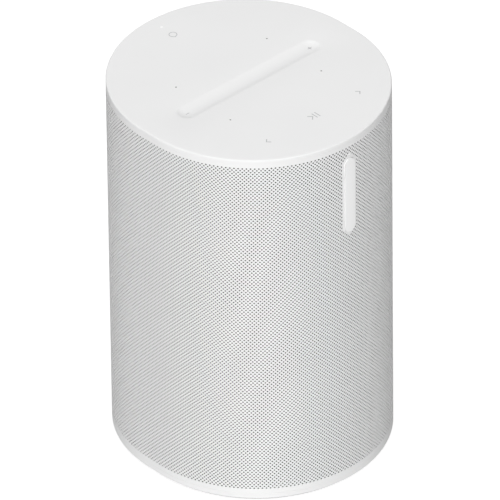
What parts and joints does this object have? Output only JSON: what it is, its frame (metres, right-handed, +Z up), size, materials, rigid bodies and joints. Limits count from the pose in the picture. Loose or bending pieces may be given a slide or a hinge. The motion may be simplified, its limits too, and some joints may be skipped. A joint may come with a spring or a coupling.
{
  "type": "smart speaker",
  "caption": "Upright oval smart speaker with a perforated wraparound grille, a flat touch top with a finger groove, and a recessed rear connector panel.",
  "frame": {"origin": "centre of the foot's underside, at the bottom centre of the bounding box", "axes": "+Z up through the touch top, -Y out of the front where the badge is, +Y out of the rear panel, X across the width"},
  "size_m": [0.12, 0.1279, 0.1825],
  "materials": {
    "casing_plastic": "fine matt moulded finish",
    "grille_plastic": "satin, finely perforated",
    "badge_plastic": "satin",
    "light_pipe": "translucent",
    "acoustic_cloth": "fine woven mesh",
    "housing_plastic": "matt",
    "waveguide_plastic": "satin",
    "seal_rubber": "soft",
    "foot_rubber": "matt",
    "steel": "zinc plated",
    "black_steel": "black oxide",
    "basket_metal": "satin",
    "cone_paper": "pressed fibre",
    "spider_cloth": "resin-treated weave",
    "copper": "enamelled wire",
    "ferrite": "matt",
    "dome_metal": "satin",
    "circuit_board": "solder mask",
    "component_plastic": "matt",
    "inlet_plastic": "matt",
    "heatsink_aluminium": "anodised",
    "winding": "taped",
    "lead_insulation": "vinyl",
    "insert_brass": "machined"
  },
  "bodies": {
    "casing": {"top_cap": "casing_plastic", "base_plate": "casing_plastic", "rear_panel": "casing_plastic", "grille": "grille_plastic", "nameplate": "badge_plastic", "mic_light_pipe": "light_pipe", "status_light_pipe": "light_pipe", "acoustic_liner": "acoustic_cloth", "front_housing": "housing_plastic", "rear_housing": "housing_plastic", "left_waveguide": "waveguide_plastic", "right_waveguide": "waveguide_plastic", "mic_gaskets": "seal_rubber", "housing_gasket": "seal_rubber", "woofer_gasket": "seal_rubber", "woofer_surround": "seal_rubber", "rubber_foot": "foot_rubber", "housing_screws": "steel", "cap_screws": "steel", "board_screws": "steel", "base_screws": "steel", "woofer_top_plate": "steel", "woofer_yoke": "steel", "microphones": "steel", "processor_shield": "steel", "inlet_pins": "steel", "data_port": "steel", "woofer_screws": "black_steel", "tweeter_screws": "black_steel", "woofer_basket": "basket_metal", "woofer_spider": "spider_cloth", "woofer_magnet": "ferrite", "left_tweeter_motor": "ferrite", "right_tweeter_motor": "ferrite", "touch_board": "circuit_board", "main_board": "circuit_board", "power_supply_board": "circuit_board", "io_board": "circuit_board", "left_antenna": "circuit_board", "right_antenna": "circuit_board", "amplifier_chips": "component_plastic", "board_inductors": "component_plastic", "board_capacitors": "component_plastic", "supply_capacitors": "component_plastic", "pairing_switch": "component_plastic", "mic_switch_body": "component_plastic", "woofer_terminals": "component_plastic", "power_inlet": "inlet_plastic", "amplifier_heatsink": "heatsink_aluminium", "transformer": "winding", "speaker_leads": "lead_insulation", "mounting_insert": "insert_brass"},
    "woofer_motion": {"woofer_cone": "cone_paper", "dust_cap": "cone_paper", "voice_coil": "copper"},
    "left_dome": {"left_tweeter_dome": "dome_metal"},
    "right_dome": {"right_tweeter_dome": "dome_metal"},
    "pairing_button": {"pairing_button": "casing_plastic"},
    "mic_switch": {"mic_switch_knob": "casing_plastic"}
  },
  "joints": [
    {"name": "woofer_travel", "type": "slide", "parent": "casing", "child": "woofer_motion", "axis": [0, -1, 0], "range_m": [-0.004, 0.004], "stiffness_N_per_m": 1500, "deforming": ["woofer_surround", "woofer_spider"]},
    {"name": "left_dome_travel", "type": "slide", "parent": "casing", "child": "left_dome", "axis": [-0.5, -0.866, 0], "range_m": [-0.0003, 0.0003], "stiffness_N_per_m": 2000},
    {"name": "right_dome_travel", "type": "slide", "parent": "casing", "child": "right_dome", "axis": [0.5, -0.866, 0], "range_m": [-0.0003, 0.0003], "stiffness_N_per_m": 2000},
    {"name": "pairing_press", "type": "slide", "parent": "casing", "child": "pairing_button", "axis": [0, -1, 0], "range_m": [0, 0.0005], "stiffness_N_per_m": 2500, "springref_m": -0.0004},
    {"name": "mic_switch_slide", "type": "slide", "parent": "casing", "child": "mic_switch", "axis": [1, 0, 0], "range_m": [0, 0.003]}
  ]
}
